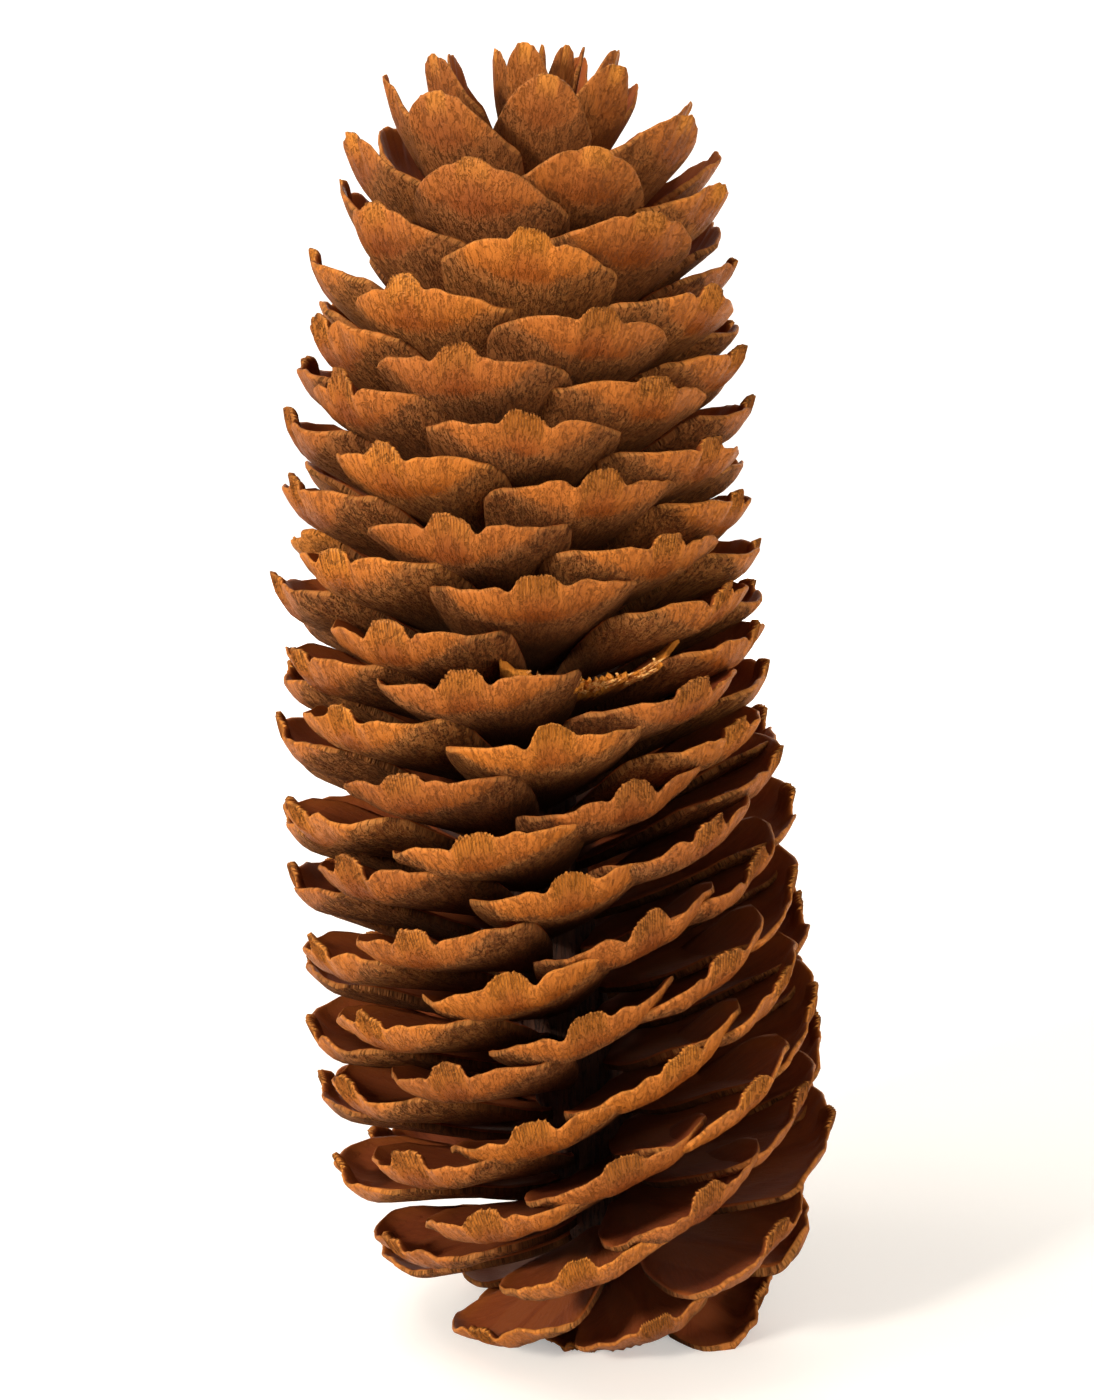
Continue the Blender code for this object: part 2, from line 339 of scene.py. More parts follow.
def uncovered(traits, across, u, rng):
    """How deep inside the crescent each point lies, in millimetres, negative where it was covered."""
    length = traits["length"] * 1000
    skew = rng.uniform(-CRESCENT_SKEW, CRESCENT_SKEW)
    depth = CRESCENT_DEPTH * rng.uniform(*CRESCENT_VARIES)
    below = (along(SHOULDERS, np.abs(across)) - u) * length
    reach = depth * (1 - np.abs((across - skew) / CRESCENT_HALF) ** 2.2)
    return np.maximum(reach, BESIDE) - below


crescent = uncovered(front, np.zeros(101), np.linspace(0, 1, 101), np.random.RandomState(1))
open_share = float((crescent > 0).sum()) / 100
print("along the middle", round(open_share * front["length"] * 1000, 1), "mm lay open")

# %% [markdown]
# ## One scale as a mesh
# A scale's two faces are grids with the same columns and rows, and a rim closes them all round.
# The grid's own places give the map that colours are laid on, one rectangle for each face, so no
# two faces share any of it. Each point also keeps where it lies on its scale, for the paint.

# %% Grid, rim and the values that the paint reads
GROUND_GIVE = 0.0004  # what comes this near the ground is pressed flat on it
PRESSED_THICKNESS = 0.0005
FAN_START = 0.004  # the grain fans out from a point this far up the claw
FAN_SPREAD = 0.018
MAP_PAD = 0.06
RIM_STRIP = 0.02
OUTSIDE, INSIDE = 0, 1


def rim_loop(rows, columns):
    """Grid places round the edge, and for each which way the rim is laid out on the map."""
    near_side = [(0, c, 0, -1) for c in range(columns)]
    right_side = [(r, columns - 1, 1, 0) for r in range(rows)]
    far_side = [(rows - 1, c, 0, 1) for c in reversed(range(columns))]
    left_side = [(r, 0, -1, 0) for r in reversed(range(rows))]
    return (near_side, right_side, far_side, left_side)


def scale_mesh(number):
    """Points, faces, which face wears which paint, map places and paint values of one scale."""
    traits = traits_of(number)
    rng = np.random.RandomState(SEED * 7000 + number)
    columns = column_places()
    rows = np.array(ROW_PLACES)
    near, far = edges_of(traits, columns, rng)
    across = np.broadcast_to(columns, (len(rows), len(columns)))
    u = near + (far - near) * rows[:, None]
    from_far = (far - u) * traits["length"]
    middle = relief(traits, across, u, from_far, rng)
    rim = np.ones_like(u)
    rim[0], rim[-1], rim[:, 0], rim[:, -1] = (RIM_SHARE,) * 4
    half_thick = thickness(traits, u) * rim / 2
    narrowed = FAN_IN * smooth(0.0, 0.0045, from_far) * np.exp(-(across / (2 * CROWN_HALF)) ** 2)
    side = across * traits["half_width"] * (1 - narrowed * crown_share(traits, across * 0))
    outer = on_cone(traits, u, side, middle - half_thick)
    inner = on_cone(traits, u, side, middle + half_thick)
    outer[..., 2] = np.where(outer[..., 2] < GROUND_GIVE, 0.0, outer[..., 2])
    inner[..., 2] = np.maximum(inner[..., 2], PRESSED_THICKNESS)
    points = np.concatenate([outer.reshape(-1, 3), inner.reshape(-1, 3)])

    height, width = u.shape
    grid = np.arange(height * width).reshape(height, width)
    low_left, low_right = grid[:-1, :-1], grid[:-1, 1:]
    high_left, high_right = grid[1:, :-1], grid[1:, 1:]
    faces_out = np.stack([low_left, low_right, high_right, high_left], -1).reshape(-1, 4)
    faces_in = np.stack([low_left, high_left, high_right, low_right], -1).reshape(-1, 4)

    u_map = MAP_PAD + (1 - 2 * MAP_PAD) * np.stack([(across + 1) / 2, u], -1).reshape(-1, 2)
    map_out = u_map[faces_out]
    map_in = u_map[faces_in]
    over = height * width  # what leads from a point of the outer face to its twin on the inner one
    faces_rim, map_rim = [], []
    for run in rim_loop(height, width):
        for (r0, c0, dx, dy), (r1, c1, _, _) in zip(run, run[1:]):
            a, b = grid[r0, c0], grid[r1, c1]
            strip = np.array([dx, dy]) * RIM_STRIP
            faces_rim.append((b, a, a + over, b + over))
            map_rim.append((u_map[b], u_map[a], u_map[a] + strip, u_map[b] + strip))

    forward = np.maximum(u * traits["length"] - FAN_START, 0.0005)
    fan = np.arctan2(side, forward) * FAN_SPREAD
    outward = np.hypot(side, forward)
    pleat = -np.cos(across / CROWN_HALF * TEETH * math.pi) * crown_share(traits, across)
    from_side = (1.02 - np.abs(across)) * traits["half_width"]
    torn = np.zeros_like(u)
    if number in TORN_SCALES:
        torn = smooth(0.0035, 0.0005, from_far) * smooth(0.02, 0.10, 1 - far)
    values = {
        "scale_along": u,
        "scale_lens": uncovered(traits, across, u, rng),
        "scale_from_edge": np.minimum(from_far, from_side) * 1000,
        "scale_across": across,
        "scale_share": np.full_like(u, traits["share"]),
        "scale_tone": np.full_like(u, rng.uniform(0, 1)),
        "scale_torn": torn,
        "scale_pleat": pleat * smooth(PLEAT_RUN, 0.0003, from_far),
    }
    place = np.stack([fan * 1000, outward * 1000, np.full_like(u, number * 7.3)], -1)
    paint = [OUTSIDE] * len(faces_out) + [INSIDE] * len(faces_in) + [OUTSIDE] * len(faces_rim)
    return {
        "points": points,
        "faces": np.concatenate([faces_out, faces_in + over, np.array(faces_rim)]),
        "paint": np.array(paint),
        "maps": (map_out, map_in, np.array(map_rim)),
        "values": {name: np.tile(value.ravel(), 2) for name, value in values.items()},
        "place": np.tile(place.reshape(-1, 3), (2, 1)),
    }


one = scale_mesh(FRONT_SCALE)
print("one scale has", len(one["points"]), "points and", len(one["faces"]), "faces")

# %% [markdown]
# ## Thirteen spiral rows
# Every thirteenth scale lies on the same steep row, so the cone falls into thirteen rows that
# each run from foot to apex. Each row is one piece here: a single mesh would be heavy to edit, and
# one piece a scale would be a long list. A row is grown from its scales, one after another.

# %% Grow the rows
ROWS = 13


def into_scene(name, data):
    """A mesh, lamp or camera set in the scene as an object."""
    thing = bpy.data.objects.new(name, data)
    bpy.context.scene.collection.objects.link(thing)
    return thing


def lay_out(maps, place, per_side):
    """Map places of one scale, set in its own two cells of the sheet."""
    map_out, map_in, map_rim = maps
    size = 1.0 / per_side
    laid = []
    for part, cell in ((map_out, 2 * place), (map_in, 2 * place + 1), (map_rim, 2 * place)):
        corner = np.array([cell % per_side, cell // per_side]) * size
        laid.append(part * size + corner)
    return np.concatenate(laid)


def grow_piece(name, scales):
    """One mesh object from the meshes of several scales."""
    per_side = math.ceil(math.sqrt(2 * len(scales)))
    starts = np.cumsum([0] + [len(scale["points"]) for scale in scales])
    faces = np.concatenate([scale["faces"] + start for scale, start in zip(scales, starts)])
    mesh = bpy.data.meshes.new(name)
    mesh.from_pydata(np.concatenate([scale["points"] for scale in scales]), [], faces.tolist())
    mesh.polygons.foreach_set("material_index", np.concatenate([scale["paint"] for scale in scales]))
    sheet = np.concatenate([lay_out(scale["maps"], k, per_side) for k, scale in enumerate(scales)])
    mesh.uv_layers.new(name="OFBake").data.foreach_set("uv", sheet.ravel())
    for key in scales[0]["values"]:
        column = np.concatenate([scale["values"][key] for scale in scales])
        mesh.attributes.new(key, "FLOAT", "POINT").data.foreach_set("value", column)
    places = np.concatenate([scale["place"] for scale in scales])
    place_data = mesh.attributes.new("scale_place", "FLOAT_VECTOR", "POINT").data
    place_data.foreach_set("vector", places.ravel())
    mesh.shade_smooth()
    mesh.update()
    return into_scene(name, mesh)


rows_of_scales = []
for row in range(ROWS):
    grown = [scale_mesh(number) for number in range(row, SCALE_COUNT, ROWS)]
    rows_of_scales.append(grow_piece("scale_row_%02d" % (row + 1), grown))
face_count = sum(len(row.data.polygons) for row in rows_of_scales)
print(len(rows_of_scales), "rows with", face_count, "faces in all")

# %% [markdown]
# ## The axis under the scales
# Where the scales part, the woody axis shows between them, and it ends in the flat foot where the
# stalk broke. It could stay the plain solid that came with the frame, but a ring mesh with ribs
# and a rough broken end looks like wood up close.

# %% Build the axis
AXIS_SIDES = 48
AXIS_RINGS = 120
AXIS_RIB = 0.00025
AXIS_RIBS = 13
FOOT_RINGS = 6
FOOT_ROUGH = 0.0004


def axis_piece():
    """The bowed axis, ribbed along its length, with a rough end at its foot."""
    rng = np.random.RandomState(SEED)
    turn = np.linspace(0, 2 * math.pi, AXIS_SIDES, endpoint=False)
    phases = rng.uniform(0, 6.3, 4)
    rings = []
    for share in np.linspace(1.0, 0.0, FOOT_RINGS, endpoint=False):
        rings.append((0.0, 1.0 - share, FOOT_ROUGH))
    for height in np.linspace(0.0, AXIS_TOP, AXIS_RINGS):
        rings.append((height, 1.0, 0.0))
    points = []
    for height, share, rough in rings:
        ribs = 0.5 * np.sin(turn * AXIS_RIBS + height * 400 + phases[0])
        ribs = ribs + 0.5 * np.sin(turn * 7 - height * 260 + phases[1])
        radius = (along(AXIS_STATIONS, height) - AXIS_RIB + AXIS_RIB * ribs) * share
        lift = rough * (0.5 + 0.5 * np.sin(turn * 5 + share * 9 + phases[2])) * (1 - share)
        points.append(bend(radius * np.cos(turn), radius * np.sin(turn), height + lift))
    points = np.concatenate(points)
    faces = []
    for ring in range(len(rings) - 1):
        for k in range(AXIS_SIDES):
            after = (k + 1) % AXIS_SIDES
            a, b = ring * AXIS_SIDES, (ring + 1) * AXIS_SIDES
            faces.append((a + k, a + after, b + after, b + k))
    top = (len(rings) - 1) * AXIS_SIDES
    faces.append([top + k for k in range(AXIS_SIDES)])
    mesh = bpy.data.meshes.new("axis")
    mesh.from_pydata(points, [], faces)
    mesh.shade_smooth()
    return into_scene("axis", mesh)


axis = axis_piece()
print("the axis has", len(axis.data.polygons), "faces")

# %% [markdown]
# ## Splinters and crumbs
# One scale on the front lost its tip, and its torn edge bristles with short fibres. Crumbs of wood
# and resin lie in the scales round it. Hair particles would be quick to comb, but they are lost on
# export, so each splinter is a small tapered rod and each crumb a rough little block, all placed by
# seeded chance on the scale they belong to.

# %% Splinters on the torn edge, and crumbs
SPLINTER_SIDES = 5
SPLINTERS = 90
SPLINTER_LENGTHS = (0.0005, 0.0023)
SPLINTER_RADII = (0.00008, 0.00025)
TORN_SCALE = 102
CRUMB_SCALES = (89, 94, 97, 102, 105, 110, 115, 118, 123, 128, 131, 139, 147)
CRUMBS_PER_SCALE = 5
CRUMB_RADII = (0.00010, 0.00030)


def rod(start, end, radius, rng):
    """Points and faces of a tapered, uneven rod."""
    along_rod = Vector(end) - Vector(start)
    side = along_rod.orthogonal().normalized()
    other = along_rod.cross(side).normalized()
    points, faces = [], []
    for share, wide in ((0.0, 0.8), (0.3, 1.0), (0.7, 0.65), (1.0, 0.15)):
        middle = Vector(start) + along_rod * share
        for k in range(SPLINTER_SIDES):
            turn = 2 * math.pi * k / SPLINTER_SIDES
            reach = radius * wide * rng.uniform(0.7, 1.3)
            points.append(middle + (side * math.cos(turn) + other * math.sin(turn)) * reach)
    for ring in range(3):
        for k in range(SPLINTER_SIDES):
            here, after = ring * SPLINTER_SIDES + k, ring * SPLINTER_SIDES + (k + 1) % SPLINTER_SIDES
            faces.append((here, after, after + SPLINTER_SIDES, here + SPLINTER_SIDES))
    faces.append(tuple(reversed(range(SPLINTER_SIDES))))
    faces.append(tuple(range(3 * SPLINTER_SIDES, 4 * SPLINTER_SIDES)))
    return points, faces


def point_on(number, u, across, off):
    """A place on one scale, off above or below its middle face."""
    traits = traits_of(number)
    side = across * traits["half_width"]
    return Vector(on_cone(traits, np.array([u]), np.array([side]), np.array([off]))[0])


def joined_piece(name, parts):
    """One mesh object from many small parts."""
    points, faces = [], []
    for part_points, part_faces in parts:
        faces += [tuple(k + len(points) for k in face) for face in part_faces]
        points += part_points
    mesh = bpy.data.meshes.new(name)
    mesh.from_pydata(points, [], faces)
    return into_scene(name, mesh)


def torn_edge_parts():
    """Splinters that stand out of the torn edge, as long as chance gives them."""
    rng = np.random.RandomState(SEED + 1)
    columns = column_places()
    _, far = edges_of(traits_of(TORN_SCALE), columns, np.random.RandomState(SEED * 7000 + TORN_SCALE))
    parts = []
    for _ in range(SPLINTERS):
        across = rng.uniform(-0.72, 0.72)
        u = float(np.interp(across, columns, far))
        off = rng.uniform(-0.00035, 0.00035)
        root = point_on(TORN_SCALE, u - 0.03, across, off)
        tip = point_on(TORN_SCALE, u + rng.uniform(0.0, 0.02), across + rng.uniform(-0.05, 0.05), off)
        reach = (tip - root).normalized() * rng.uniform(*SPLINTER_LENGTHS)
        reach += Vector(rng.uniform(-0.00025, 0.00025, 3))
        parts.append(rod(root, root + reach + (tip - root) * 0.5, rng.uniform(*SPLINTER_RADII), rng))
    return parts


def crumb_parts():
    """Rough little blocks that lie on the upper faces of some scales near the front."""
    rng = np.random.RandomState(SEED + 2)
    parts = []
    for number in CRUMB_SCALES:
        for _ in range(CRUMBS_PER_SCALE):
            radius = rng.uniform(*CRUMB_RADII)
            u, across = rng.uniform(0.50, 0.80), rng.uniform(-0.6, 0.6)
            place = point_on(number, u, across, 0.0007)
            reach = Vector(rng.uniform(-1, 1, 3)).normalized() * radius * rng.uniform(1.0, 2.6)
            parts.append(rod(place - reach / 2, place + reach / 2, radius, rng))
    return parts


splinters = joined_piece("splinters", torn_edge_parts())
crumbs = joined_piece("crumbs", crumb_parts())
print(SPLINTERS, "splinters and", len(CRUMB_SCALES) * CRUMBS_PER_SCALE, "crumbs")

# %% [markdown]
# ## Small helpers for the paint
# Every material below is a net of nodes. A few short helpers keep the nets readable: they add a
# node and fill its inputs, do arithmetic, or ease a value from one range to another.

# %% Node helpers
def srgb(red, green, blue):
    """A colour read as 0 to 255 on a screen, as the light values that nodes use."""
    light = [((c / 255 + 0.055) / 1.055) ** 2.4 for c in (red, green, blue)]
    return (*light, 1.0)


def fill(tree, inputs, sockets):
    """Links the sockets and sets the plain values that belong to the named inputs."""
    for key, value in sockets.items():
        if isinstance(value, bpy.types.NodeSocket):
            tree.links.new(value, inputs[key])
        else:
            inputs[key].default_value = value


def node(tree, kind, sockets=None, **settings):
    """Adds a node, sets its options and fills its inputs."""
    new = tree.nodes.new("ShaderNode" + kind)
    for key, value in settings.items():
        setattr(new, key, value)
    fill(tree, new.inputs, sockets or {})
    return new


def maths(tree, operation, first, second=0.0, third=0.0):
    """One step of arithmetic on values or sockets."""
    return node(tree, "Math", {0: first, 1: second, 2: third}, operation=operation).outputs[0]


def ease(tree, value, start, end, low=0.0, high=1.0):
    """Low below start, high above end, and an eased way between."""
    sockets = {"Value": value, "From Min": start, "From Max": end, "To Min": low, "To Max": high}
    return node(tree, "MapRange", sockets, interpolation_type="SMOOTHSTEP").outputs[0]


def mixed(tree, share, first, second):
    """Two colours mixed by a share from 0 to 1."""
    return node(tree, "Mix", {0: share, 6: first, 7: second}, data_type="RGBA").outputs[2]


def noise(tree, vector, scale, detail, roughness, warp=0.0):
    """Cloudy values from 0 to 1."""
    sockets = {"Vector": vector, "Scale": scale, "Detail": detail}
    sockets.update({"Roughness": roughness, "Distortion": warp})
    return node(tree, "TexNoise", sockets).outputs["Fac"]


def stretched(tree, vector, scale):
    """A vector with its sides stretched or squeezed, to draw a pattern out along one of them."""
    return node(tree, "Mapping", {"Vector": vector, "Scale": scale}, vector_type="POINT").outputs[0]


def new_group(name, inputs, outputs):
    """An empty node group with named sockets, and the two nodes that stand for its ends."""
    tree = bpy.data.node_groups.new(name, "ShaderNodeTree")
    for label, kind, default in inputs:
        socket = tree.interface.new_socket(label, in_out="INPUT", socket_type="NodeSocket" + kind)
        if default is not None:
            socket.default_value = default
    for label, kind in outputs:
        tree.interface.new_socket(label, in_out="OUTPUT", socket_type="NodeSocket" + kind)
    return tree, tree.nodes.new("NodeGroupInput").outputs, tree.nodes.new("NodeGroupOutput").inputs


def place_group(tree, group, sockets):
    """The outputs of a group that is set in a material and has its inputs filled."""
    return node(tree, "Group", sockets, node_tree=group).outputs


def value_of(tree, name, output="Fac"):
    """One of the values that each point of a scale keeps."""
    return node(tree, "Attribute", attribute_name=name).outputs[output]


def finish_paint(tree, shader, colour, rough, bumps, strength, depth):
    """Colour, roughness and bumps on a shader, with the depth of the bumps in metres."""
    bump = node(tree, "Bump", {"Height": bumps, "Strength": strength, "Distance": depth})
    fill(tree, shader.inputs, {"Base Color": colour, "Roughness": rough, "Normal": bump.outputs[0]})


print("orange of a scale's tip in light values:", [round(c, 3) for c in srgb(200, 120, 40)[:3]])

# %% [markdown]
# ## Fan grain
# The fibres of a scale fan out from its claw to its edge. They show as fine streaks, and as short
# dark cracks where the wood dried. A photograph could be laid on, but noise that is stretched
# along the fan gives every scale its own fibres at any distance. Both faces of a scale and the axis
# use this group, each with its own share of cracks.

# %% Group: fan grain
def fan_grain_group():
    tree, given, result = new_group(
        "fan grain",
        [("Place", "Vector", None), ("Crack share", "Float", 0.5)],
        [("Streaks", "Float"), ("Fine", "Float"), ("Cracks", "Float"), ("Height", "Float")],
    )
    streaks = noise(tree, stretched(tree, given["Place"], (2.6, 0.22, 1.0)), 1.0, 4.0, 0.6, 0.25)
    fine = noise(tree, stretched(tree, given["Place"], (9.0, 0.7, 1.0)), 1.0, 3.0, 0.65)
    split = noise(tree, stretched(tree, given["Place"], (1.9, 0.75, 1.0)), 1.0, 5.0, 0.66, 0.4)
    from_line = maths(tree, "ABSOLUTE", maths(tree, "SUBTRACT", split, 0.5))
    cracks = ease(tree, from_line, maths(tree, "MULTIPLY", given["Crack share"], 0.050), 0.0)
    cracks = maths(tree, "MULTIPLY", cracks, ease(tree, fine, 0.36, 0.56))
    height = maths(tree, "MULTIPLY_ADD", fine, 0.35, maths(tree, "MULTIPLY", streaks, 0.65))
    height = maths(tree, "MULTIPLY_ADD", cracks, -0.8, height)
    fill(tree, result, {"Streaks": streaks, "Fine": fine, "Cracks": cracks, "Height": height})
    return tree


fan_grain = fan_grain_group()
print("group", fan_grain.name, "with", len(fan_grain.nodes), "nodes")

# %% [markdown]
# ## Pits and grains
# Where its neighbours lay on it, a scale is dull and rough: tiny resin grains, pits in clusters
# and a mottled bloom. Speckles from a cell pattern, thinned out by a slow noise, cluster in
# the same way, and cost far less than modelling thousands of dots.

# %% Group: pits and bloom
def pits_group():
    tree, given, result = new_group(
        "pits and bloom",
        [("Place", "Vector", None), ("Density", "Float", 0.5)],
        [("Pits", "Float"), ("Bloom", "Float"), ("Grit", "Float"), ("Height", "Float")],
    )
    slow = noise(tree, given["Place"], 0.42, 3.0, 0.6)
    spread = stretched(tree, given["Place"], (3.0, 2.1, 1.0))
    cells = node(tree, "TexVoronoi", {"Vector": spread, "Scale": 1.0})
    reach = maths(tree, "MULTIPLY", ease(tree, slow, 0.42, 0.68), given["Density"])
    pits = ease(tree, cells.outputs["Distance"], maths(tree, "MULTIPLY", reach, 0.55), 0.0)
    bloom = noise(tree, stretched(tree, given["Place"], (0.8, 0.45, 1.0)), 1.0, 4.0, 0.62)
    grit = noise(tree, stretched(tree, given["Place"], (4.2, 2.8, 1.0)), 1.0, 2.0, 0.7)
    height = maths(tree, "MULTIPLY_ADD", pits, -0.7, grit)
    fill(tree, result, {"Pits": pits, "Bloom": bloom, "Grit": grit, "Height": height})
    return tree


pits_and_bloom = pits_group()
print("group", pits_and_bloom.name, "with", len(pits_and_bloom.nodes), "nodes")

# %% [markdown]
# ## Worn edge
# The far edge of each scale is rubbed and dry, a lighter line no wider than half a millimetre
# with gaps in it. The group takes the distance from the edge and gives a broken line, which the
# materials use to lighten the colour and raise the roughness.

# %% Group: worn edge
def worn_edge_group():
    tree, given, result = new_group(
        "worn edge",
        [("From edge", "Float", 1.0), ("Place", "Vector", None), ("Width", "Float", 0.4)],
        [("Wear", "Float")],
    )
    ragged = noise(tree, given["Place"], 2.4, 3.0, 0.6)
    width = maths(tree, "MULTIPLY", given["Width"], ease(tree, ragged, 0.3, 0.75, 0.15, 1.9))
    tree.links.new(ease(tree, given["From edge"], width, 0.0), result["Wear"])
    return tree


worn_edge = worn_edge_group()
print("group", worn_edge.name, "with", len(worn_edge.nodes), "nodes")

# %% [markdown]
# ## Scale to scale
# No two scales have the same tint. The group takes a finished colour and the scale's own tone,
# a number from 0 to 1, and moves its brightness and its warmth a little.

# %% Group: scale tint
def tint_group():
    tree, given, result = new_group(
        "scale tint",
        [("Color", "Color", (0.5, 0.5, 0.5, 1.0)), ("Tone", "Float", 0.5), ("Strength", "Float", 1.0)],
        [("Color", "Color")],
    )
    swing = maths(tree, "MULTIPLY", maths(tree, "SUBTRACT", given["Tone"], 0.5), given["Strength"])
    hue = maths(tree, "MULTIPLY_ADD", swing, 0.004, 0.5)
    bright = maths(tree, "MULTIPLY_ADD", swing, 0.30, 1.0)
    sat = maths(tree, "MULTIPLY_ADD", swing, 0.012, 1.0)
    sockets = {"Hue": hue, "Saturation": sat, "Value": bright, "Color": given["Color"]}
    tree.links.new(node(tree, "HueSaturation", sockets).outputs[0], result["Color"])
    return tree


scale_tint = tint_group()
print("group", scale_tint.name, "with", len(scale_tint.nodes), "nodes")

# %% [markdown]
# ## The outside of a scale
# The crescent that the sun saw is satin and orange, brightened towards its edge with painted light and
# at its crown with a painted highlight. Below it the scale is dull and brown, streaked and pitted,
# darker towards its claw with dirt and painted shade, and lighter high on the cone with painted light.
# Each colour has its own function, and one material wears both: the stored distance into the crescent
# chooses, with noise on it, so that the border wanders as it does on a real scale.

# %% Material: outside of a scale
def sunny_colour(tree, grain, from_edge):
    """Orange of the part that lay open, with darker fibres, and painted light that brightens it towards
    the far edge.
    """
    # Painted light: the orange brightens towards the far edge, where the upturned edge catches the light.
    glow = ease(tree, maths(tree, "MULTIPLY_ADD", grain["Streaks"], 2.5, from_edge), 5.6, 1.6)
    sunny = mixed(tree, glow, srgb(140, 70, 24), srgb(190, 110, 44))
    return mixed(tree, ease(tree, grain["Streaks"], 0.56, 0.34, 0.0, 0.42), sunny, srgb(116, 54, 17))


def covered_colour(tree, grain, pits, share):
    """Mottled brown of the part that its neighbours covered, darker towards the claw with dirt and
    painted shade, and lighter high up on the cone with painted light.
    """
    covered = mixed(tree, ease(tree, pits["Bloom"], 0.36, 0.64), srgb(118, 63, 29), srgb(158, 98, 52))
    covered = mixed(tree, ease(tree, pits["Grit"], 0.42, 0.62, 0.0, 0.55), covered, srgb(178, 118, 64))
    covered = mixed(tree, ease(tree, grain["Streaks"], 0.54, 0.36, 0.0, 0.55), covered, srgb(90, 42, 18))
    covered = mixed(tree, maths(tree, "MULTIPLY", pits["Pits"], 0.85), covered, srgb(62, 28, 12))
    # Dirt and painted shade: the covered part darkens towards the claw, deep between the scales.
    deep = ease(tree, value_of(tree, "scale_along"), 0.72, 0.45, 0.0, 0.8)
    covered = mixed(tree, deep, covered, srgb(60, 31, 16))
    # Painted light: the covered part turns lighter high on the cone, where it lies less in the shade of
    # the scales above.
    return mixed(tree, ease(tree, share, 0.50, 0.80, 0.0, 0.45), covered, srgb(152, 92, 46))


def new_material(name):
    """A material, its net of nodes and its shader."""
    made = bpy.data.materials.new(name)
    made.use_nodes = True
    return made, made.node_tree, made.node_tree.nodes["Principled BSDF"]


def outside_material():
    """Orange crescent and brown covered part, with a painted highlight on the crown, painted shade in the
    pleats' grooves, worn edge and torn wood.
    """
    made, tree, shader = new_material("scale outside")
    place = value_of(tree, "scale_place", "Vector")
    from_edge = value_of(tree, "scale_from_edge")
    share = value_of(tree, "scale_share")
    grain = place_group(tree, fan_grain, {"Place": place, "Crack share": 0.75})
    pits = place_group(tree, pits_and_bloom, {"Place": place, "Density": 0.8})
    wear = place_group(tree, worn_edge, {"From edge": from_edge, "Place": place, "Width": 0.16})["Wear"]

    wander = maths(tree, "MULTIPLY_ADD", noise(tree, place, 0.55, 4.0, 0.6), 2.6, -1.3)
    shown = ease(tree, maths(tree, "ADD", value_of(tree, "scale_lens"), wander), -0.7, 0.9)
    sunny = sunny_colour(tree, grain, from_edge)
    colour = mixed(tree, shown, covered_colour(tree, grain, pits, share), sunny)
    cracked = maths(tree, "MULTIPLY", grain["Cracks"], maths(tree, "MULTIPLY_ADD", shown, -0.72, 0.80))
    colour = mixed(tree, cracked, colour, srgb(52, 22, 8))
    high_up = ease(tree, share, 0.80, 0.96)
    colour = mixed(tree, maths(tree, "MULTIPLY", high_up, 0.60), colour, srgb(142, 80, 36))
    # Painted highlight: the crown's teeth and pleats near the far edge turn paler and more golden.
    crown_highlight = ease(tree, maths(tree, "ABSOLUTE", value_of(tree, "scale_across")), 0.24, 0.14)
    crown_highlight = maths(tree, "MULTIPLY", crown_highlight, ease(tree, from_edge, 2.6, 0.3, 0.0, 0.6))
    colour = mixed(tree, crown_highlight, colour, srgb(222, 142, 56))
    # Painted shade: the grooves between the crown's pleats are darker.
    groove_shade = ease(tree, value_of(tree, "scale_pleat"), 0.1, -0.9, 0.0, 0.80)
    colour = mixed(tree, groove_shade, colour, srgb(118, 58, 20))
    colour = mixed(tree, maths(tree, "MULTIPLY", wear, 0.30), colour, srgb(206, 138, 70))
    colour = mixed(tree, value_of(tree, "scale_torn"), colour, srgb(206, 128, 52))
    tint = {"Color": colour, "Tone": value_of(tree, "scale_tone"), "Strength": 1.0}
    colour = place_group(tree, scale_tint, tint)["Color"]

    dull = maths(tree, "MULTIPLY_ADD", shown, -0.31, 0.65)
    rough = maths(tree, "MULTIPLY_ADD", grain["Fine"], 0.22, dull)
    rough = maths(tree, "MULTIPLY_ADD", wear, 0.15, rough)
    relief_share = maths(tree, "MULTIPLY_ADD", shown, -0.50, 1.0)
    bumps = maths(tree, "MULTIPLY_ADD", grain["Height"], 1.1, pits["Height"])
    bumps = maths(tree, "MULTIPLY", bumps, relief_share)
    finish_paint(tree, shader, colour, rough, bumps, 1.0, 0.00026)
    fill(tree, shader.inputs, {"Specular IOR Level": 0.30, "Specular Tint": (1.0, 0.74, 0.44, 1.0)})
    return made


scale_outside = outside_material()
print("material", scale_outside.name, "has", len(scale_outside.node_tree.nodes), "nodes")

# %% [markdown]
# ## The inside of a scale
# The face that held the seeds is smooth, dark and reddish. Two faint lens-shaped beds mark where
# the seeds and their wings lay, one on each side of the middle, and the edge turns lighter.

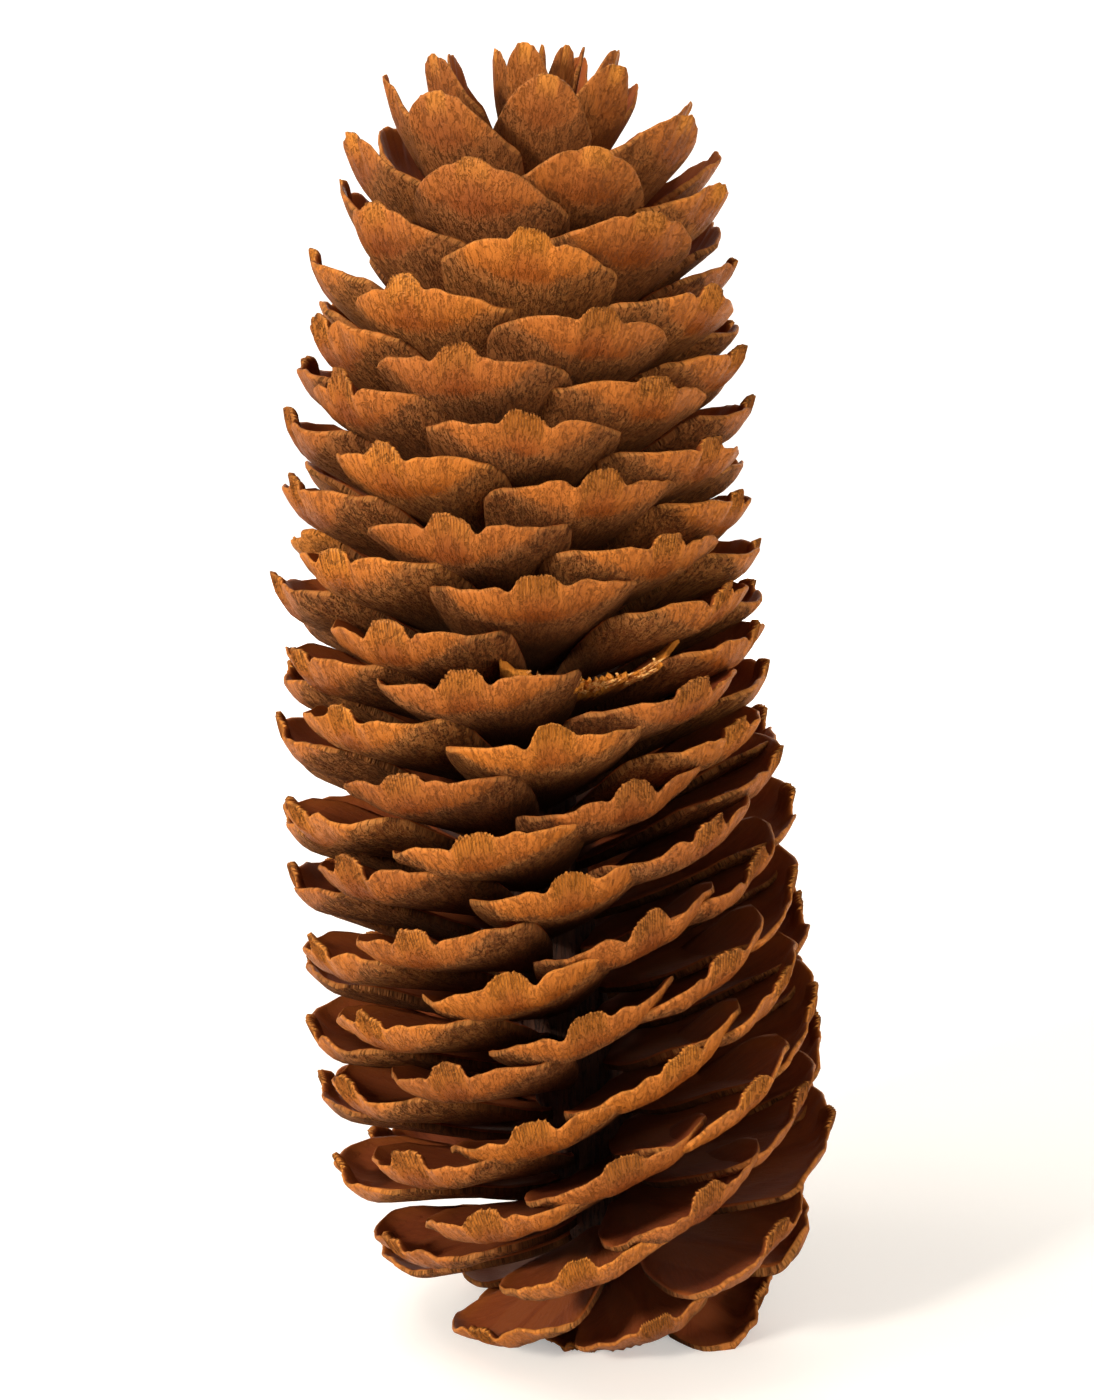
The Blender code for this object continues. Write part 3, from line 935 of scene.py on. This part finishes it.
# %% Material: inside of a scale
def inside_material():
    """Reddish brown with two faint seed beds and a lighter edge."""
    made, tree, shader = new_material("scale inside")
    place = value_of(tree, "scale_place", "Vector")
    from_edge = value_of(tree, "scale_from_edge")
    grain = place_group(tree, fan_grain, {"Place": place, "Crack share": 0.25})
    wear = place_group(tree, worn_edge, {"From edge": from_edge, "Place": place, "Width": 0.22})["Wear"]

    off_bed = maths(tree, "SUBTRACT", maths(tree, "ABSOLUTE", value_of(tree, "scale_across")), 0.27)
    off_middle = maths(tree, "SUBTRACT", value_of(tree, "scale_along"), 0.52)
    off_middle = maths(tree, "MULTIPLY", off_middle, 0.62)
    squared = maths(tree, "MULTIPLY", off_bed, off_bed)
    away = maths(tree, "SQRT", maths(tree, "MULTIPLY_ADD", off_middle, off_middle, squared))
    bed = ease(tree, away, 0.24, 0.17)
    colour = mixed(tree, grain["Streaks"], srgb(110, 53, 30), srgb(158, 80, 44))
    colour = mixed(tree, maths(tree, "MULTIPLY", bed, 0.30), colour, srgb(164, 92, 52))
    colour = mixed(tree, ease(tree, from_edge, 2.6, 0.3, 0.0, 0.6), colour, srgb(148, 80, 34))
    colour = mixed(tree, maths(tree, "MULTIPLY", wear, 0.45), colour, srgb(196, 128, 62))
    colour = mixed(tree, value_of(tree, "scale_torn"), colour, srgb(206, 128, 52))
    tint = {"Color": colour, "Tone": value_of(tree, "scale_tone"), "Strength": 0.8}
    colour = place_group(tree, scale_tint, tint)["Color"]
    rough = maths(tree, "MULTIPLY_ADD", grain["Fine"], 0.25, 0.52)
    bumps = maths(tree, "MULTIPLY_ADD", bed, -0.5, grain["Height"])
    finish_paint(tree, shader, colour, rough, bumps, 0.7, 0.00012)
    fill(tree, shader.inputs, {"Specular IOR Level": 0.12, "Specular Tint": (1.0, 0.62, 0.36, 1.0)})
    return made


scale_inside = inside_material()
for piece in rows_of_scales:
    piece.data.materials.append(scale_outside)
    piece.data.materials.append(scale_inside)
print("material", scale_inside.name, "has", len(scale_inside.node_tree.nodes), "nodes")

# %% [markdown]
# ## Wood of the axis
# The axis is brown and fibrous, with the fibres running up it. It has no fan, so its paint reads
# the object's own coordinates, stretched upwards.

# %% Material: wood of the axis
def axis_material():
    """Dark fibrous brown."""
    made, tree, shader = new_material("axis wood")
    whole = node(tree, "TexCoord").outputs["Object"]
    place = stretched(tree, whole, (700.0, 700.0, 160.0))
    grain = place_group(tree, fan_grain, {"Place": place, "Crack share": 0.9})
    colour = mixed(tree, grain["Streaks"], srgb(46, 24, 13), srgb(88, 48, 26))
    colour = mixed(tree, maths(tree, "MULTIPLY", grain["Cracks"], 0.8), colour, srgb(18, 9, 5))
    rough = maths(tree, "MULTIPLY_ADD", grain["Fine"], 0.3, 0.6)
    finish_paint(tree, shader, colour, rough, grain["Height"], 0.9, 0.0004)
    return made


axis_wood = axis_material()
axis.data.materials.append(axis_wood)
print("material", axis_wood.name, "has", len(axis_wood.node_tree.nodes), "nodes")

# %% [markdown]
# ## Torn wood
# Fresh broken wood is paler and yellower than the weathered face, and each fibre catches the light
# on its own. A speckle on the object's own coordinates is enough for pieces this small, and the
# crumbs are the same wood.

# %% Material: torn wood
def torn_material():
    """Pale speckled yellow-brown."""
    made, tree, shader = new_material("torn wood")
    place = stretched(tree, node(tree, "TexCoord").outputs["Object"], (2400.0, 2400.0, 2400.0))
    speckle = noise(tree, place, 1.0, 3.0, 0.6)
    colour = mixed(tree, ease(tree, speckle, 0.35, 0.65), srgb(200, 116, 42), srgb(250, 200, 120))
    rough = maths(tree, "MULTIPLY_ADD", speckle, 0.3, 0.45)
    finish_paint(tree, shader, colour, rough, speckle, 0.6, 0.0001)
    return made


torn_wood = torn_material()
splinters.data.materials.append(torn_wood)
crumbs.data.materials.append(torn_wood)
print("material", torn_wood.name, "has", len(torn_wood.node_tree.nodes), "nodes")

# %% [markdown]
# ## Tie the pieces to the frame
# Nothing on a cone moves, so every piece rides on the one body and takes the place of the plain
# solid. A loop says so once for all of them.

# %% Ride and replace
pieces = rows_of_scales + [axis, splinters, crumbs]
for piece in pieces:
    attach(piece, "root")
    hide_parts("cone")
print(len(pieces), "pieces ride on the body")

# %% [markdown]
# ## Floor, light and camera
# The cone stands on a plain pale floor. A warm soft light from the upper left models the
# scales, a wide one from the right keeps the shadows open, and two more light the top and back.
# The camera stands where the photograph was taken from and looks a little down.

# %% Floor
FLOOR_FLAT = 1.1
SWEEP_RADIUS = 0.5
SWEEP_TOP = 1.3
FLOOR_TURNS = 96
SWEEP_STEPS = 16
GLOW_REACH = (0.08, 0.70)
GLOW = (0.36, 0.82)  # how bright the camera alone sees the floor near the cone and far from it


def floor_material():
    """Pale and dull, and to the camera alone a little brighter further from the cone."""
    made, tree, shader = new_material("floor")
    place = node(tree, "NewGeometry").outputs["Position"]
    away = node(tree, "VectorMath", {0: place}, operation="LENGTH").outputs["Value"]
    glow = ease(tree, away, *GLOW_REACH, *GLOW)
    glow = maths(tree, "MULTIPLY", node(tree, "LightPath").outputs["Is Camera Ray"], glow)
    fill(tree, shader.inputs, {"Base Color": (0.80, 0.79, 0.77, 1.0), "Roughness": 0.9,
                               "Emission Color": (1.0, 0.99, 0.97, 1.0), "Emission Strength": glow})
    return made


def floor_piece():
    """A round floor that sweeps up into a wall, so that no horizon shows."""
    profile = [(0.0, 0.0), (FLOOR_FLAT, 0.0)]
    for step in range(1, SWEEP_STEPS + 1):
        turn = math.pi / 2 * step / SWEEP_STEPS
        out, up = SWEEP_RADIUS * math.sin(turn), SWEEP_RADIUS * (1 - math.cos(turn))
        profile.append((FLOOR_FLAT + out, up))
    profile.append((FLOOR_FLAT + SWEEP_RADIUS, SWEEP_TOP))
    points = [(0.0, 0.0, 0.0)]
    faces = []
    for ring, (radius, height) in enumerate(profile[1:]):
        for k in range(FLOOR_TURNS):
            turn = 2 * math.pi * k / FLOOR_TURNS
            points.append((radius * math.cos(turn), radius * math.sin(turn), height))
            here = 1 + ring * FLOOR_TURNS + k
            after = 1 + ring * FLOOR_TURNS + (k + 1) % FLOOR_TURNS
            if ring == 0:
                faces.append((0, here, after))
            else:
                faces.append((here - FLOOR_TURNS, here, after, after - FLOOR_TURNS))
    mesh = bpy.data.meshes.new("floor")
    mesh.from_pydata(points, [], faces)
    mesh.shade_smooth()
    mesh.materials.append(floor_material())
    return into_scene("floor", mesh)


floor = floor_piece()
print("the floor is", FLOOR_FLAT * 2, "m wide before it sweeps up")

# %% Light
AIM = Vector((-0.0079, 0.0, 0.0660))
WARM = (1.0, 0.91, 0.80)
PALE = (1.0, 0.95, 0.88)
WORLD_STRENGTH = 0.36


def soft_light(name, place, size, power, colour):
    """A square lamp that faces the cone: its width in metres and its power in watts."""
    data = bpy.data.lights.new(name, "AREA")
    data.size = size
    data.energy = power
    data.color = colour
    lamp = into_scene(name, data)
    lamp.location = place
    lamp.rotation_euler = (AIM - Vector(place)).to_track_quat("-Z", "Y").to_euler()


soft_light("key", (-0.54, -0.47, 0.33), 0.11, 5.2, WARM)
soft_light("fill", (0.58, -0.54, 0.16), 0.50, 3.8, WARM)
soft_light("back", (0.10, 0.75, 0.30), 0.60, 3.4, (1.0, 0.93, 0.84))
soft_light("top", (-0.30, -0.05, 0.70), 0.30, 2.0, PALE)
world = bpy.data.worlds.new("studio")
world.use_nodes = True
sky = world.node_tree.nodes["Background"].inputs
fill(world.node_tree, sky, {"Color": (*PALE, 1.0), "Strength": WORLD_STRENGTH})
bpy.context.scene.world = world
bpy.context.scene.view_settings.view_transform = "Standard"
print("four soft lights and a pale world")

# %% Camera
FOCAL_LENGTH = 55.6
DISTANCE = 0.2235
PITCH = math.radians(8.6)
ROLL_OF_VIEW = math.radians(-1.27)

lens_data = bpy.data.cameras.new("camera")
lens_data.lens = FOCAL_LENGTH
lens_data.sensor_width = 36.0
lens_data.sensor_fit = "AUTO"
lens_data.clip_start = 0.001
lens_data.clip_end = 10.0
camera = into_scene("camera", lens_data)
eye = AIM + Vector((0.0, -math.cos(PITCH), math.sin(PITCH))) * DISTANCE
turned = (AIM - eye).to_track_quat("-Z", "Y").to_matrix().to_4x4()
camera.matrix_world = Matrix.Translation(eye) @ turned @ Matrix.Rotation(ROLL_OF_VIEW, 4, "Z")
bpy.context.scene.camera = camera
print("the camera stands", DISTANCE, "m from the cone's middle")
